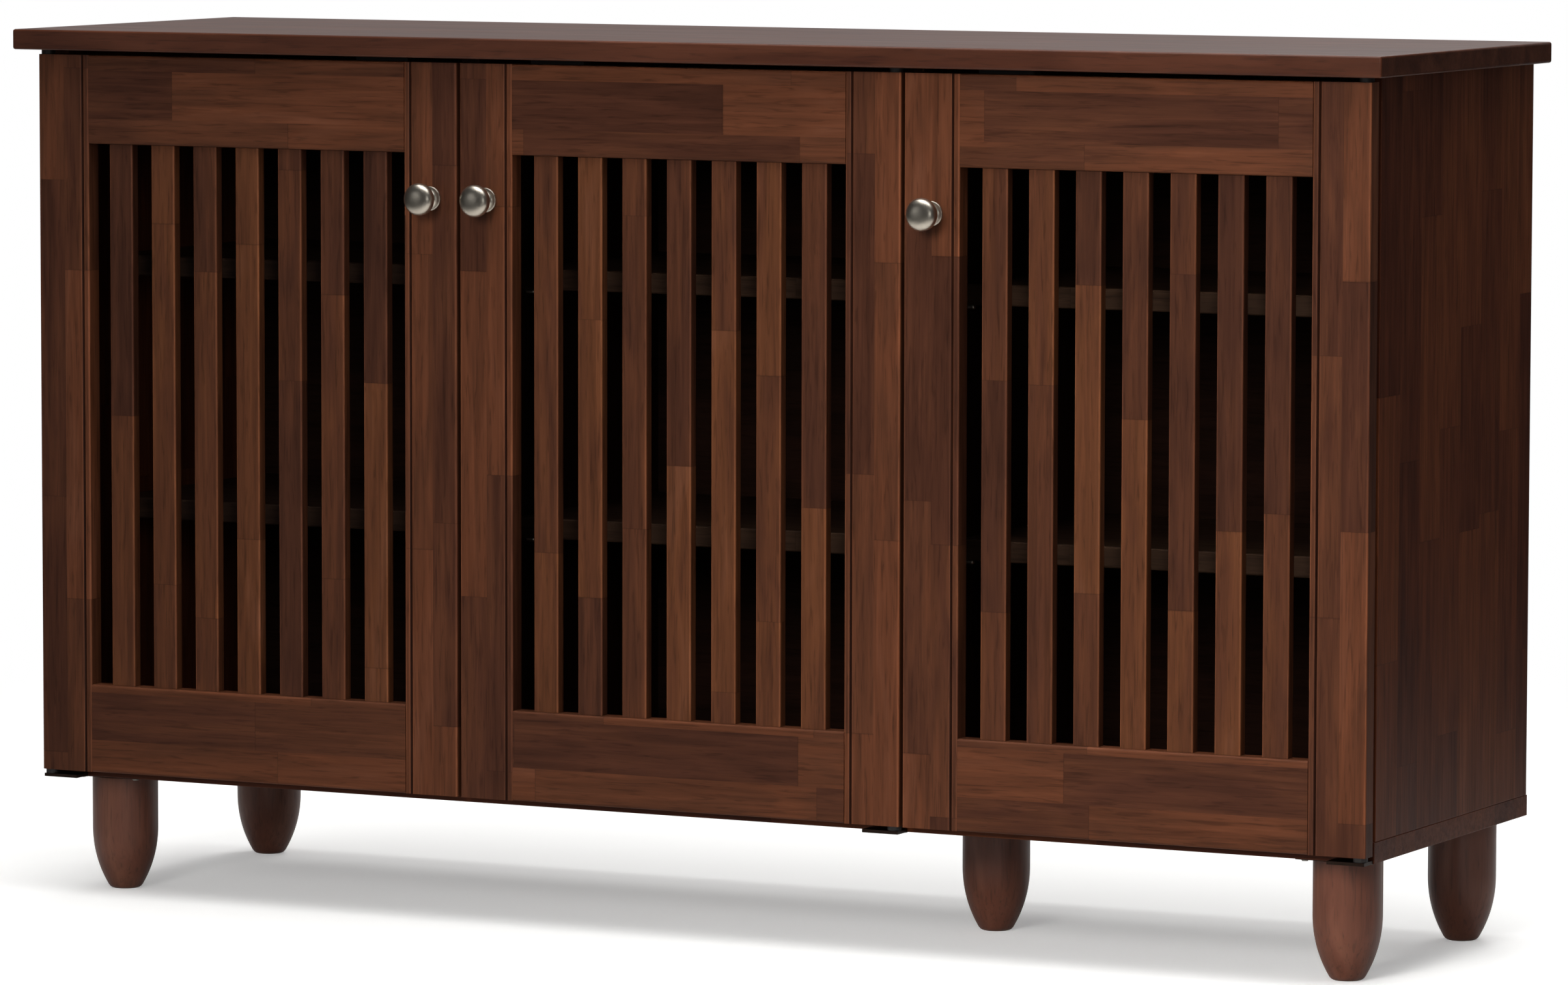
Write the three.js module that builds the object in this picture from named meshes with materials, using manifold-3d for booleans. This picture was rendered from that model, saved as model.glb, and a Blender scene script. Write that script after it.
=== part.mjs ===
// A shoe cabinet on turned legs: three compartments with two shelves each, and three slatted
// doors that turn on pivot pins at their corners. Millimetres, +X right, +Y back, +Z up. The
// origin is on the floor under the middle of the whole cabinet, and the doors face -Y.
import * as THREE from "three";
import { mergeVertices } from "three/addons/utils/BufferGeometryUtils.js";
import Module from "manifold-3d";

const wasm = await Module();
wasm.setup();

// ---- sizes ------------------------------------------------------------------------------

// Carcass
const bodyWidth = 1140;          // across the outer faces of the two side panels
const bodyDepth = 304;           // side panels, front edge to back edge
const sideHeight = 564;          // side panels, between the bottom board and the top board
const boardThickness = 16;       // sides, partitions, bottom board and shelves
const topThickness = 16;
const topOverhangSide = 14;      // top board past the side panels
const topOverhangFront = 16;     // top board past the front of the doors
const bottomLip = 2;             // bottom board past the side panels' front and back edges
const backThickness = 4;
const compartments = 3;
const seam = 0.1;                // glue line between two pieces that meet
const arris = 1;                 // eased edge on boards

// Shelves
const shelfLevels = [186.5, 381.5];   // undersides, above the bottom board
const shelfSetback = 58;              // front edge behind the side panels' front edge
const shelfPlay = 1;                  // gap left at each end and at the back
const pinHoleDiameter = 5;
const pinHoleWeb = 2;                 // wood left between holes drilled from opposite faces
const pinHoleDepth = (boardThickness - pinHoleWeb) / 2;
const pinInset = 20;                  // pin holes in from the shelf's front and back edges

// Legs
const legDiameter = 52.5;
const legHeight = 92;
const legTaper = 50;             // height of the rounded taper above the foot
const footDiameter = 19;
const footEaseWidth = 5;         // rounded edge of the foot, outwards and upwards
const footEaseHeight = 4;
const legInsetSide = 39;         // leg axis in from the side panel's outer face
const legInsetFront = 42;        // leg axis behind the side panels' front edge
const legInsetBack = 34;         // leg axis in front of the side panels' back edge
const legPlateSize = 60;
const legPlateThickness = 2.5;
const studDiameter = 8;
const studLength = 20;
const studClearance = 0.2;
const studBoreSpare = 2;         // bore past the end of the stud

// Doors
const doorThickness = 16;
const doorGap = 3;               // between two doors
const doorBackGap = 4;           // door's back to the side panels' front edge
const doorTopGap = 4;            // door's top to the top board
const doorDrop = 10;             // doors reach below the bottom board's top face
const stileWidth = 46;
const railHeight = 70;
const doorArris = 1.2;
const beadInset = 5.5;           // groove in from the stile's inner edge
const beadWidth = 2.4;
const beadDepth = 1.2;
const tenonLength = 20;
const tenonThickness = 6;
const tenonShoulder = 12;
const jointClearance = 0.2;

// Slats
const slatCount = 7;
const slatWidth = 21;
const slatThickness = 10;
const slatTongueThickness = 6;
const slatTongueLength = 8;
const slatTongueShoulder = 1;    // tongue in from each edge of its slat
const tongueStripHeight = 6;
const tongueStripOverlap = 4;    // each tongue runs this far into its strip

// Knobs
const knobDiameter = 25;
const knobProjection = 24;
const knobBaseDiameter = 19;
const knobBaseThickness = 2;
const knobNeckDiameter = 9;
const knobHeadBack = 14.4;       // back of the head, out from the door
const knobRimOut = 18.7;         // widest part of the head, out from the door
const knobHeadEase = 1.2;        // rounding at the back of the head
const knobDrop = 105;            // knob axis below the door's top

// Pivot hinges
const pivotInset = 6;            // pivot axis in from the door's hinge edge and from its front
const pivotPinDiameter = 4;
const pivotPinEngagement = 10;   // pin inside the door's top or bottom edge
const pivotPlateWidth = 30;
const pivotPlateThickness = 2.5;
const pivotPlateInset = 1;       // plate in from the door's front face and hinge edge
const pivotPlateBearing = 13;    // plate behind the bottom board's front edge
const plateScrewDiameter = 4.5;
const plateScrewSpacing = 18;
const plateClearance = 0.2;
const bushSleeveDiameter = 7;
const bushSleeveLength = 12;
const bushFlangeDiameter = 11;
const bushRunningClearance = 0.1;
const bushFitClearance = 0.05;
const bushEndPlay = 0.3;

// Magnetic catches
const catchWidth = 46;
const catchDepth = 14;
const catchHeight = 15;
const catchFromStile = 30;       // catch centre past the knob stile's inner edge
const strikeThickness = 1.2;
const strikeWidth = 30;
const strikeHeight = 12;
const strikeDrop = 1.5;          // strike below the door's top
const catchGap = 0.3;

// Facets
const roundSegments = 32;
const smallSegments = 24;
const legCurveSteps = 8;
const knobCurveSteps = 5;

// ---- places worked out from the sizes ---------------------------------------------------

const knobReach = Math.max(knobProjection, topOverhangFront);
const bodyFront = doorThickness + doorBackGap;
const bodyBack = bodyFront + bodyDepth;
const boardBack = bodyBack + bottomLip;
const doorFrontY = (knobReach - boardBack) / 2;

const undersideZ = legHeight + legPlateThickness;
const floorZ = undersideZ + boardThickness;
const ceilingZ = floorZ + sideHeight;
const doorBottomZ = floorZ - doorDrop;
const doorTopZ = ceilingZ - doorTopGap;
const doorHeight = doorTopZ - doorBottomZ;
const doorWidth = (bodyWidth - (compartments - 1) * doorGap) / compartments;
const openingWidth = doorWidth - 2 * stileWidth;
const doorPitch = doorWidth + doorGap;

// Depths below are measured back from the doors' front face.
const bottomFront = bodyFront - bottomLip;
const backPanelFront = bodyBack - backThickness;
const shelfFront = bodyFront + shelfSetback;
const shelfBack = backPanelFront - shelfPlay;
const pinDepths = [shelfFront + pinInset, shelfBack - pinInset];
const pivotPlateBack = bottomFront + pivotPlateBearing;

// ---- finishes ---------------------------------------------------------------------------

const finishes = {
  top: { color: 0x6b564b, roughness: 0.38, metalness: 0 },
  carcass: { color: 0x54352a, roughness: 0.5, metalness: 0 },
  shelf: { color: 0x4f3329, roughness: 0.6, metalness: 0 },
  backing: { color: 0x3a261f, roughness: 0.8, metalness: 0 },
  leg: { color: 0x6b4738, roughness: 0.42, metalness: 0 },
  frame: { color: 0x6a4030, roughness: 0.5, metalness: 0 },
  slat: { color: 0x75493a, roughness: 0.5, metalness: 0 },
  nickel: { color: 0xc8c2b8, roughness: 0.28, metalness: 1 },
  steel: { color: 0x3b3633, roughness: 0.45, metalness: 0.8 },
  nylon: { color: 0x2a2624, roughness: 0.6, metalness: 0 },
};

// ---- making solids ----------------------------------------------------------------------

const cabinet = new THREE.Group();
const assembly = new THREE.Group();
assembly.position.y = doorFrontY;
cabinet.add(assembly);

function addPart(name, finish, geometry, x = 0, y = 0, z = 0) {
  const mesh = new THREE.Mesh(geometry, new THREE.MeshStandardMaterial(finishes[finish]));
  mesh.name = name;
  mesh.position.set(x, y, z);
  assembly.add(mesh);
}

// The closed surface of a geometry with its shared corners merged and slivers dropped.
function closedSurface(geometry) {
  const bare = geometry.index ? geometry.toNonIndexed() : geometry.clone();
  bare.deleteAttribute("normal");
  bare.deleteAttribute("uv");
  const merged = mergeVertices(bare, 1e-4);
  const corners = merged.index.array;
  const kept = [];
  for (let i = 0; i < corners.length; i += 3) {
    const [a, b, c] = corners.slice(i, i + 3);
    if (a !== b && b !== c && c !== a) kept.push(a, b, c);
  }
  return { points: merged.attributes.position.array, triangles: Uint32Array.from(kept) };
}

function toSolid(geometry) {
  const { points, triangles } = closedSurface(geometry);
  const mesh = new wasm.Mesh({ numProp: 3, vertProperties: points, triVerts: triangles });
  return new wasm.Manifold(mesh);
}

function toGeometry(solid) {
  const mesh = solid.getMesh();
  const geometry = new THREE.BufferGeometry();
  geometry.setAttribute("position", new THREE.BufferAttribute(mesh.vertProperties, 3));
  geometry.setIndex(new THREE.BufferAttribute(mesh.triVerts, 1));
  geometry.computeVertexNormals();
  return geometry;
}

function joined(geometries) {
  const solids = geometries.map(toSolid);
  return toGeometry(solids.reduce((whole, next) => whole.add(next)));
}

function cutAway(geometry, cutters) {
  const solids = cutters.map(toSolid);
  return toGeometry(solids.reduce((rest, next) => rest.subtract(next), toSolid(geometry)));
}

// A plain block between two opposite corners.
function block(low, high) {
  const size = high.map((value, axis) => value - low[axis]);
  const geometry = new THREE.BoxGeometry(...size);
  return geometry.translate(...low.map((value, axis) => value + size[axis] / 2));
}

// A board between two opposite corners, with every edge eased.
function board(low, high, ease = arris) {
  const [width, depth, height] = high.map((value, axis) => value - low[axis]);
  const outline = new THREE.Shape();
  outline.moveTo(ease, 0);
  outline.lineTo(width - ease, 0);
  outline.lineTo(width, ease);
  outline.lineTo(width, depth - ease);
  outline.lineTo(width - ease, depth);
  outline.lineTo(ease, depth);
  outline.lineTo(0, depth - ease);
  outline.lineTo(0, ease);
  outline.closePath();
  const geometry = new THREE.ExtrudeGeometry(outline, {
    depth: height - 2 * ease,
    bevelThickness: ease,
    bevelSize: ease,
    bevelOffset: -ease,
    bevelSegments: 1,
  });
  return geometry.translate(low[0], low[1], low[2] + ease);
}

// A cylinder along Z between two heights.
function upright(diameter, x, y, lowZ, highZ, segments = smallSegments) {
  const height = highZ - lowZ;
  const geometry = new THREE.CylinderGeometry(diameter / 2, diameter / 2, height, segments);
  geometry.rotateX(Math.PI / 2);
  return geometry.translate(x, y, lowZ + height / 2);
}

// A cylinder along X between two places.
function crosswise(diameter, lowX, highX, y, z) {
  const length = highX - lowX;
  const geometry = new THREE.CylinderGeometry(diameter / 2, diameter / 2, length, smallSegments);
  geometry.rotateZ(Math.PI / 2);
  return geometry.translate(lowX + length / 2, y, z);
}

// A profile of (radius, height) points turned about Z.
function turned(profile, segments = roundSegments) {
  return new THREE.LatheGeometry(profile, segments).rotateX(Math.PI / 2);
}

// ---- carcass ----------------------------------------------------------------------------

const innerWidth = bodyWidth - 2 * boardThickness;
const halfWidth = bodyWidth / 2;

// Outlines of the compartments: [left, right] between the upright boards' faces.
function partitionX(index) {
  return -halfWidth + (index + 1) * doorPitch - doorGap / 2;
}

const bays = [];
for (let bay = 0; bay < compartments; bay += 1) {
  const left = bay === 0 ? -innerWidth / 2 : partitionX(bay - 1) + boardThickness / 2;
  const right = bay === compartments - 1 ? innerWidth / 2 : partitionX(bay) - boardThickness / 2;
  bays.push({ left, right });
}

// Which side each door hangs on: -1 is its left edge and 1 is its right edge.
const doors = [
  { name: "left", hinge: -1 },
  { name: "middle", hinge: 1 },
  { name: "right", hinge: 1 },
];
doors.forEach((door, index) => {
  door.left = -halfWidth + index * doorPitch;
  door.right = door.left + doorWidth;
  door.edge = door.hinge < 0 ? door.left : door.right;
  door.pivotX = door.edge - door.hinge * pivotInset;
});

// A pivot plate's width along X, from its edge near the door's hinge edge inwards.
function plateSpan(door, margin = 0) {
  const near = door.edge - door.hinge * (pivotPlateInset - margin);
  const far = door.edge - door.hinge * (pivotPlateInset + pivotPlateWidth + margin);
  return [Math.min(near, far), Math.max(near, far)];
}

// The pockets that take the pivot plates flush, cut from one face of a board.
function platePockets(lowZ, highZ) {
  return doors.map((door) => {
    const [left, right] = plateSpan(door, plateClearance);
    const front = pivotPlateInset - plateClearance;
    return block([left, front, lowZ], [right, pivotPlateBack + plateClearance, highZ]);
  });
}

const pocketDepth = pivotPlateThickness + plateClearance;
const cutThrough = 1;

const topBlank = board(
  [-halfWidth - topOverhangSide, -topOverhangFront, ceilingZ],
  [halfWidth + topOverhangSide, boardBack, ceilingZ + topThickness],
);
const topPockets = platePockets(ceilingZ - cutThrough, ceilingZ + pocketDepth);
addPart("top_board", "top", cutAway(topBlank, topPockets));

const bottomBlank = board(
  [-halfWidth, bottomFront, undersideZ],
  [halfWidth, boardBack, floorZ],
);
const bottomPockets = platePockets(undersideZ - cutThrough, undersideZ + pocketDepth);
addPart("bottom_board", "carcass", cutAway(bottomBlank, bottomPockets));

// Blind holes for shelf pins in one face of an upright board, drilled towards +X or -X.
function pinHoles(faceX, towards) {
  const holes = [];
  for (const level of shelfLevels) {
    for (const y of pinDepths) {
      const ends = [faceX - towards * cutThrough, faceX + towards * pinHoleDepth];
      const z = floorZ + level - pinHoleDiameter / 2;
      holes.push(crosswise(pinHoleDiameter, Math.min(...ends), Math.max(...ends), y, z));
    }
  }
  return holes;
}

function uprightBoard(name, left, back, holes) {
  const blank = board(
    [left, bodyFront, floorZ + seam],
    [left + boardThickness, back, ceilingZ - seam],
  );
  addPart(name, "carcass", cutAway(blank, holes));
}

uprightBoard("side_left", -halfWidth, bodyBack, pinHoles(bays[0].left, -1));
const lastBay = bays[compartments - 1];
uprightBoard("side_right", lastBay.right, bodyBack, pinHoles(lastBay.right, 1));
const partitionNames = ["partition_left", "partition_right"];
partitionNames.forEach((name, index) => {
  const holes = [...pinHoles(bays[index].right, 1), ...pinHoles(bays[index + 1].left, -1)];
  uprightBoard(name, bays[index].right, backPanelFront - seam, holes);
});

addPart("back_panel", "backing", block(
  [-innerWidth / 2 + seam, backPanelFront, floorZ + seam],
  [innerWidth / 2 - seam, bodyBack, ceilingZ - seam],
));

// ---- shelves ----------------------------------------------------------------------------

const levelNames = ["lower", "upper"];
doors.forEach((door, index) => {
  const { left, right } = bays[index];
  shelfLevels.forEach((level, row) => {
    addPart(`shelf_${door.name}_${levelNames[row]}`, "shelf", board(
      [left + shelfPlay, shelfFront, floorZ + level],
      [right - shelfPlay, shelfBack, floorZ + level + boardThickness],
    ));
  });
});

// ---- legs -------------------------------------------------------------------------------

const studBore = studDiameter / 2 + studClearance;
const studBoreDepth = studLength + studBoreSpare;

const legProfile = new THREE.Path();
legProfile.moveTo(0, 0);
legProfile.lineTo(footDiameter / 2, 0);
legProfile.lineTo(
  footDiameter / 2 + footEaseWidth * Math.SQRT1_2, footEaseHeight * (1 - Math.SQRT1_2),
);
legProfile.lineTo(footDiameter / 2 + footEaseWidth, footEaseHeight);
legProfile.quadraticCurveTo(legDiameter / 2, legTaper / 2, legDiameter / 2, legTaper);
legProfile.lineTo(legDiameter / 2, legHeight - seam);
legProfile.lineTo(studBore, legHeight - seam);
legProfile.lineTo(studBore, legHeight - studBoreDepth);
legProfile.lineTo(0, legHeight - studBoreDepth);

const legPlaces = {
  front_left: [-halfWidth + legInsetSide, bodyFront + legInsetFront],
  front_right: [halfWidth - legInsetSide, bodyFront + legInsetFront],
  back_left: [-halfWidth + legInsetSide, bodyBack - legInsetBack],
  back_right: [halfWidth - legInsetSide, bodyBack - legInsetBack],
  centre: [partitionX(compartments - 2), bodyFront + bodyDepth / 2],
};

const plateHalf = legPlateSize / 2;
const plateWithStud = joined([
  block([-plateHalf, -plateHalf, legHeight], [plateHalf, plateHalf, undersideZ - seam]),
  upright(studDiameter, 0, 0, legHeight - studLength, legHeight + legPlateThickness / 2),
]);

for (const [place, [x, y]] of Object.entries(legPlaces)) {
  addPart(`leg_${place}`, "leg", turned(legProfile.getPoints(legCurveSteps)), x, y, 0);
  addPart(`leg_plate_${place}`, "steel", plateWithStud.clone(), x, y, 0);
}

// ---- doors ------------------------------------------------------------------------------

// A stile's section seen from above, with a groove near its inner edge. Its inner edge is at
// +X for the stile at the door's left and at -X for the one at its right.
function stileSection(inner) {
  const half = stileWidth / 2;
  const groove = half - beadInset;
  const corners = [
    [-half + doorArris, 0],
    [groove - beadWidth / 2, 0],
    [groove, beadDepth],
    [groove + beadWidth / 2, 0],
    [half - doorArris, 0],
    [half, doorArris],
    [half, doorThickness - doorArris],
    [half - doorArris, doorThickness],
    [-half + doorArris, doorThickness],
    [-half, doorThickness - doorArris],
    [-half, doorArris],
  ];
  return new THREE.Shape(corners.map(([x, y]) => new THREE.Vector2(inner * x, y)));
}

// A rail's section seen from its end, as (y, z), with the slats' groove in its inner edge.
const railGrooveHalf = slatTongueThickness / 2 + jointClearance;
const railGrooveDepth = slatTongueLength + jointClearance;

function railSection() {
  const middle = doorThickness / 2;
  const corners = [
    [doorArris, 0],
    [middle - railGrooveHalf, 0],
    [middle - railGrooveHalf, railGrooveDepth],
    [middle + railGrooveHalf, railGrooveDepth],
    [middle + railGrooveHalf, 0],
    [doorThickness - doorArris, 0],
    [doorThickness, doorArris],
    [doorThickness, railHeight - doorArris],
    [doorThickness - doorArris, railHeight],
    [doorArris, railHeight],
    [0, railHeight - doorArris],
    [0, doorArris],
  ];
  return new THREE.Shape(corners.map(([y, z]) => new THREE.Vector2(y, z)));
}

// Turns a (y, z) section that was extruded along local Z so that it runs along X.
const alongX = new THREE.Matrix4().makeBasis(
  new THREE.Vector3(0, 1, 0),
  new THREE.Vector3(0, 0, 1),
  new THREE.Vector3(1, 0, 0),
);

function tenonBlock(left, right, lowZ, highZ, clearance) {
  const middle = doorThickness / 2;
  const half = tenonThickness / 2 + clearance;
  return block(
    [left, middle - half, lowZ - clearance],
    [right, middle + half, highZ + clearance],
  );
}

// A rail with its groove facing up for the bottom rail and down for the top one.
function railGeometry(left, right, top) {
  const length = right - left;
  const section = new THREE.ExtrudeGeometry(railSection(), { depth: length, bevelEnabled: false });
  section.applyMatrix4(alongX);
  if (!top) {
    section.rotateX(Math.PI);
    section.translate(0, doorThickness, railHeight);
  }
  const lowZ = top ? doorTopZ - railHeight : doorBottomZ;
  section.translate(left, 0, lowZ);
  const tenon = tenonBlock(
    left - tenonLength,
    right + tenonLength,
    lowZ + tenonShoulder,
    lowZ + railHeight - tenonShoulder,
    0,
  );
  return joined([section, tenon]);
}

function stileGeometry(door, side) {
  const inner = -side;
  const outerEdge = side < 0 ? door.left : door.right;
  const centre = outerEdge - side * (stileWidth / 2);
  const blank = new THREE.ExtrudeGeometry(stileSection(inner), {
    depth: doorHeight,
    bevelEnabled: false,
  });
  blank.translate(centre, 0, doorBottomZ);

  const innerEdge = outerEdge - side * stileWidth;
  const mortiseEnds = [innerEdge + side * (tenonLength + jointClearance), innerEdge - side];
  const left = Math.min(...mortiseEnds);
  const right = Math.max(...mortiseEnds);
  const cutters = [doorBottomZ, doorTopZ - railHeight].map((lowZ) => tenonBlock(
    left,
    right,
    lowZ + tenonShoulder,
    lowZ + railHeight - tenonShoulder,
    jointClearance,
  ));

  if (side === door.hinge) {
    const bore = bushSleeveDiameter + 2 * bushFitClearance;
    const depth = bushSleeveLength + jointClearance;
    const ends = [
      [doorBottomZ - cutThrough, doorBottomZ + depth],
      [doorTopZ - depth, doorTopZ + cutThrough],
    ];
    for (const [lowZ, highZ] of ends) {
      cutters.push(upright(bore, door.pivotX, pivotInset, lowZ, highZ));
    }
  }
  return cutAway(blank, cutters);
}

// Seven slats on the two tongue strips that run in the rails' grooves, as one piece.
function grilleGeometry(door) {
  const middle = doorThickness / 2;
  const tongueHalf = slatTongueThickness / 2;
  const left = door.left + stileWidth;
  const right = door.right - stileWidth;
  const lowZ = doorBottomZ + railHeight;
  const highZ = doorTopZ - railHeight;
  const gap = (openingWidth - slatCount * slatWidth) / (slatCount + 1);
  const tongueReach = slatTongueLength - tongueStripHeight + tongueStripOverlap;
  const pieces = [];
  for (let slat = 0; slat < slatCount; slat += 1) {
    const x = left + gap + slat * (slatWidth + gap);
    pieces.push(block(
      [x, middle - slatThickness / 2, lowZ + seam],
      [x + slatWidth, middle + slatThickness / 2, highZ - seam],
    ));
    pieces.push(block(
      [x + slatTongueShoulder, middle - tongueHalf, lowZ - tongueReach],
      [x + slatWidth - slatTongueShoulder, middle + tongueHalf, highZ + tongueReach],
    ));
  }
  const strips = [lowZ - slatTongueLength, highZ + slatTongueLength - tongueStripHeight];
  for (const stripZ of strips) {
    pieces.push(block(
      [left + jointClearance, middle - tongueHalf, stripZ],
      [right - jointClearance, middle + tongueHalf, stripZ + tongueStripHeight],
    ));
  }
  return joined(pieces);
}

// A knob turned about its own axis, from its base on the door to its domed head.
const knobRadius = knobDiameter / 2;
const neckRadius = knobNeckDiameter / 2;
const baseRadius = knobBaseDiameter / 2;
const headEdge = knobRadius - knobHeadEase;

const knobProfile = new THREE.Path();
knobProfile.moveTo(0, 0);
knobProfile.lineTo(baseRadius, 0);
knobProfile.lineTo(baseRadius, knobBaseThickness / 2);
knobProfile.quadraticCurveTo(neckRadius, knobBaseThickness, neckRadius, knobHeadBack / 2);
knobProfile.quadraticCurveTo(neckRadius, knobHeadBack, headEdge, knobHeadBack);
knobProfile.quadraticCurveTo(knobRadius, knobHeadBack, knobRadius, knobRimOut);
knobProfile.quadraticCurveTo(knobRadius, knobProjection, 0, knobProjection);

function addKnob(door) {
  const geometry = new THREE.LatheGeometry(knobProfile.getPoints(knobCurveSteps), roundSegments);
  geometry.rotateX(Math.PI);
  geometry.rotateY(Math.PI / roundSegments);
  const freeEdge = door.hinge < 0 ? door.right : door.left;
  const x = freeEdge + door.hinge * (stileWidth / 2);
  addPart(`knob_${door.name}`, "nickel", geometry, x, -seam, doorTopZ - knobDrop);
}

for (const door of doors) {
  const left = door.left + stileWidth + seam;
  const right = door.right - stileWidth - seam;
  addPart(`stile_left_${door.name}`, "frame", stileGeometry(door, -1));
  addPart(`stile_right_${door.name}`, "frame", stileGeometry(door, 1));
  addPart(`rail_bottom_${door.name}`, "frame", railGeometry(left, right, false));
  addPart(`rail_top_${door.name}`, "frame", railGeometry(left, right, true));
  addPart(`slats_${door.name}`, "slat", grilleGeometry(door));
  addKnob(door);
}

// ---- pivot hinges -----------------------------------------------------------------------

// A plate that lies flush in its board, with the pin that stands in the door's edge.
function pivotPlateGeometry(door, plateZ, pinLow, pinHigh) {
  const [left, right] = plateSpan(door);
  const centre = (left + right) / 2;
  const plate = block(
    [left, pivotPlateInset, plateZ],
    [right, pivotPlateBack, plateZ + pivotPlateThickness],
  );
  const pin = upright(pivotPinDiameter, door.pivotX, pivotInset, pinLow, pinHigh);
  const screwY = (bottomFront + pivotPlateBack) / 2;
  const holes = [-1, 1].map((side) => upright(
    plateScrewDiameter,
    centre + side * plateScrewSpacing / 2,
    screwY,
    plateZ - cutThrough,
    plateZ + pivotPlateThickness + cutThrough,
  ));
  return cutAway(joined([plate, pin]), holes);
}

// A flanged bush: the sleeve is pressed into the door's edge and the flange faces the plate.
function bushGeometry(flangeHeight) {
  const bore = pivotPinDiameter / 2 + bushRunningClearance;
  const flange = bushFlangeDiameter / 2;
  const sleeve = bushSleeveDiameter / 2;
  const top = flangeHeight + bushSleeveLength;
  const profile = [
    [bore, 0],
    [flange, 0],
    [flange, flangeHeight - seam],
    [sleeve, flangeHeight - seam],
    [sleeve, top],
    [bore, top],
    [bore, 0],
  ];
  return turned(profile.map(([radius, z]) => new THREE.Vector2(radius, z)), smallSegments);
}

for (const door of doors) {
  const lowerPlateZ = undersideZ;
  const upperPlateZ = ceilingZ;
  const middle = pivotPlateThickness / 2;
  addPart(`pivot_plate_lower_${door.name}`, "steel", pivotPlateGeometry(
    door,
    lowerPlateZ,
    lowerPlateZ + middle,
    doorBottomZ + pivotPinEngagement,
  ));
  addPart(`pivot_plate_upper_${door.name}`, "steel", pivotPlateGeometry(
    door,
    upperPlateZ,
    doorTopZ - pivotPinEngagement,
    upperPlateZ + middle,
  ));

  const lowerFlange = doorBottomZ - undersideZ - pivotPlateThickness - bushEndPlay;
  const lower = bushGeometry(lowerFlange);
  addPart(`pivot_bush_lower_${door.name}`, "nylon", lower,
    door.pivotX, pivotInset, doorBottomZ - lowerFlange);
  const upperFlange = doorTopGap - bushEndPlay;
  const upper = bushGeometry(upperFlange).rotateX(Math.PI);
  addPart(`pivot_bush_upper_${door.name}`, "nylon", upper,
    door.pivotX, pivotInset, doorTopZ + upperFlange);
}

// ---- magnetic catches -------------------------------------------------------------------

const strikeFront = doorThickness + seam;
const catchFront = strikeFront + strikeThickness + catchGap;

for (const door of doors) {
  const freeEdge = door.hinge < 0 ? door.right : door.left;
  const x = freeEdge + door.hinge * (stileWidth + catchFromStile);
  addPart(`catch_${door.name}`, "nylon", board(
    [x - catchWidth / 2, catchFront, ceilingZ - seam - catchHeight],
    [x + catchWidth / 2, catchFront + catchDepth, ceilingZ - seam],
  ));
  const strikeTop = doorTopZ - strikeDrop;
  addPart(`strike_${door.name}`, "steel", block(
    [x - strikeWidth / 2, strikeFront, strikeTop - strikeHeight],
    [x + strikeWidth / 2, strikeFront + strikeThickness, strikeTop],
  ));
}

export default cabinet;
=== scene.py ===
# A shoe cabinet on turned legs, with three slatted doors that swing on pivot pins.
import math

import bmesh
import bpy
from mathutils import Matrix, Vector


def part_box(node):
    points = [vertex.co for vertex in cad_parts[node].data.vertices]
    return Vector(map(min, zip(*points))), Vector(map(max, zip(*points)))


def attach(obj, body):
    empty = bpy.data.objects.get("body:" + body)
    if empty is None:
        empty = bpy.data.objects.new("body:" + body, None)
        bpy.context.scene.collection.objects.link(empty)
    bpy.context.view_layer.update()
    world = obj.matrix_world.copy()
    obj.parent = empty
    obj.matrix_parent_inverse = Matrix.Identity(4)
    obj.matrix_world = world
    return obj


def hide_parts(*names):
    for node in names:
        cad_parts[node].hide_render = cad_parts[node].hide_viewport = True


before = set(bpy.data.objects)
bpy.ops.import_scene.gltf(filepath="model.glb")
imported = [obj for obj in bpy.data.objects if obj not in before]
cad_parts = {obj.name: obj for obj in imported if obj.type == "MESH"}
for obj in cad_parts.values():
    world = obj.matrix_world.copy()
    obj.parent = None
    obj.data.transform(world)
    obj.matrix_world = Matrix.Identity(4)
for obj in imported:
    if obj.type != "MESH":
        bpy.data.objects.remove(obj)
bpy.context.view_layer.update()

# ---- Top board --------------------------------------------------------------------------
# One wide board, stained dark and finished with satin lacquer. It overhangs the doors and
# the sides, and its edges are sanded round; they are painted lighter, partly for thinner
# stain there and partly as a painted highlight.


def to_linear(hex_colour):
    """An sRGB hex colour as linear RGBA."""
    channels = [int(hex_colour[place:place + 2], 16) / 255 for place in (0, 2, 4)]
    linear = [c / 12.92 if c <= 0.04045 else ((c + 0.055) / 1.055) ** 2.4 for c in channels]
    return (*linear, 1.0)


def add_node(tree, kind, inputs=None, **settings):
    """A new node with its settings, and its inputs set to values or linked to outputs."""
    node = tree.nodes.new(kind)
    for name, value in settings.items():
        setattr(node, name, value)
    for socket, value in (inputs or {}).items():
        if isinstance(value, bpy.types.NodeSocket):
            tree.links.new(value, node.inputs[socket])
        else:
            node.inputs[socket].default_value = value
    return node


def start_material(name):
    """An empty node material, and its tree and shader."""
    material = bpy.data.materials.new(name)
    material.use_nodes = True
    tree = material.node_tree
    tree.nodes.clear()
    shader = add_node(tree, "ShaderNodeBsdfPrincipled")
    add_node(tree, "ShaderNodeOutputMaterial", {"Surface": shader.outputs["BSDF"]})
    return material, tree, shader


def set_ramp(node, stops):
    """Sets a colour ramp from (place, hex colour) pairs."""
    elements = node.color_ramp.elements
    while len(elements) < len(stops):
        elements.new(0.5)
    for element, (place, hex_colour) in zip(elements, stops):
        element.position = place
        element.color = to_linear(hex_colour)


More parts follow.
